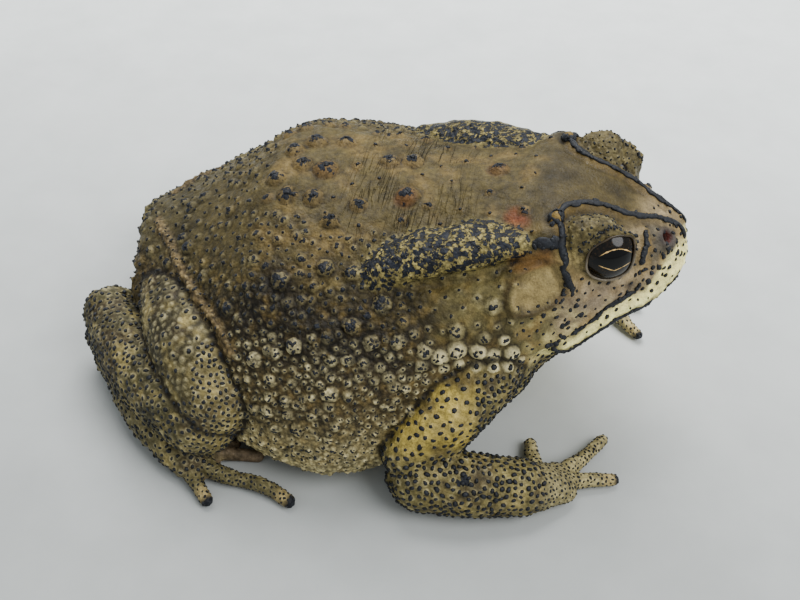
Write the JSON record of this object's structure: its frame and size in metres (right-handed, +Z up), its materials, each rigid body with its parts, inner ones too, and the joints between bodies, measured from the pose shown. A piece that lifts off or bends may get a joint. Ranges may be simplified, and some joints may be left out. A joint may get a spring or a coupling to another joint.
{
  "type": "asian common toad",
  "caption": "Life-size still model of an Asian common toad sitting at rest, with warty back, bony head crests and long parotoid glands.",
  "frame": {"origin": "on the floor under the middle of the sitting animal's box", "axes": "+X towards the snout, +Y towards the animal's left, +Z up from the floor"},
  "size_m": [0.1104, 0.0932, 0.0501],
  "materials": {
    "skin_head": "smooth tan skin over bone, slightly moist",
    "skin_back": "dry warty brown skin with pale warts and dark tips",
    "skin_limb": "dry yellow-brown skin with dark conical spines",
    "eye": "wet gloss"
  },
  "bodies": {
    "root": {"head": "skin_head", "torso": "skin_back", "eye_right": "eye", "eye_left": "eye", "upper_arm_right": "skin_limb", "forearm_right": "skin_limb", "hand_right": "skin_limb", "upper_arm_left": "skin_limb", "forearm_left": "skin_limb", "hand_left": "skin_limb", "thigh_right": "skin_limb", "shank_right": "skin_limb", "foot_right": "skin_limb", "thigh_left": "skin_limb", "shank_left": "skin_limb", "foot_left": "skin_limb"}
  },
  "joints": []
}
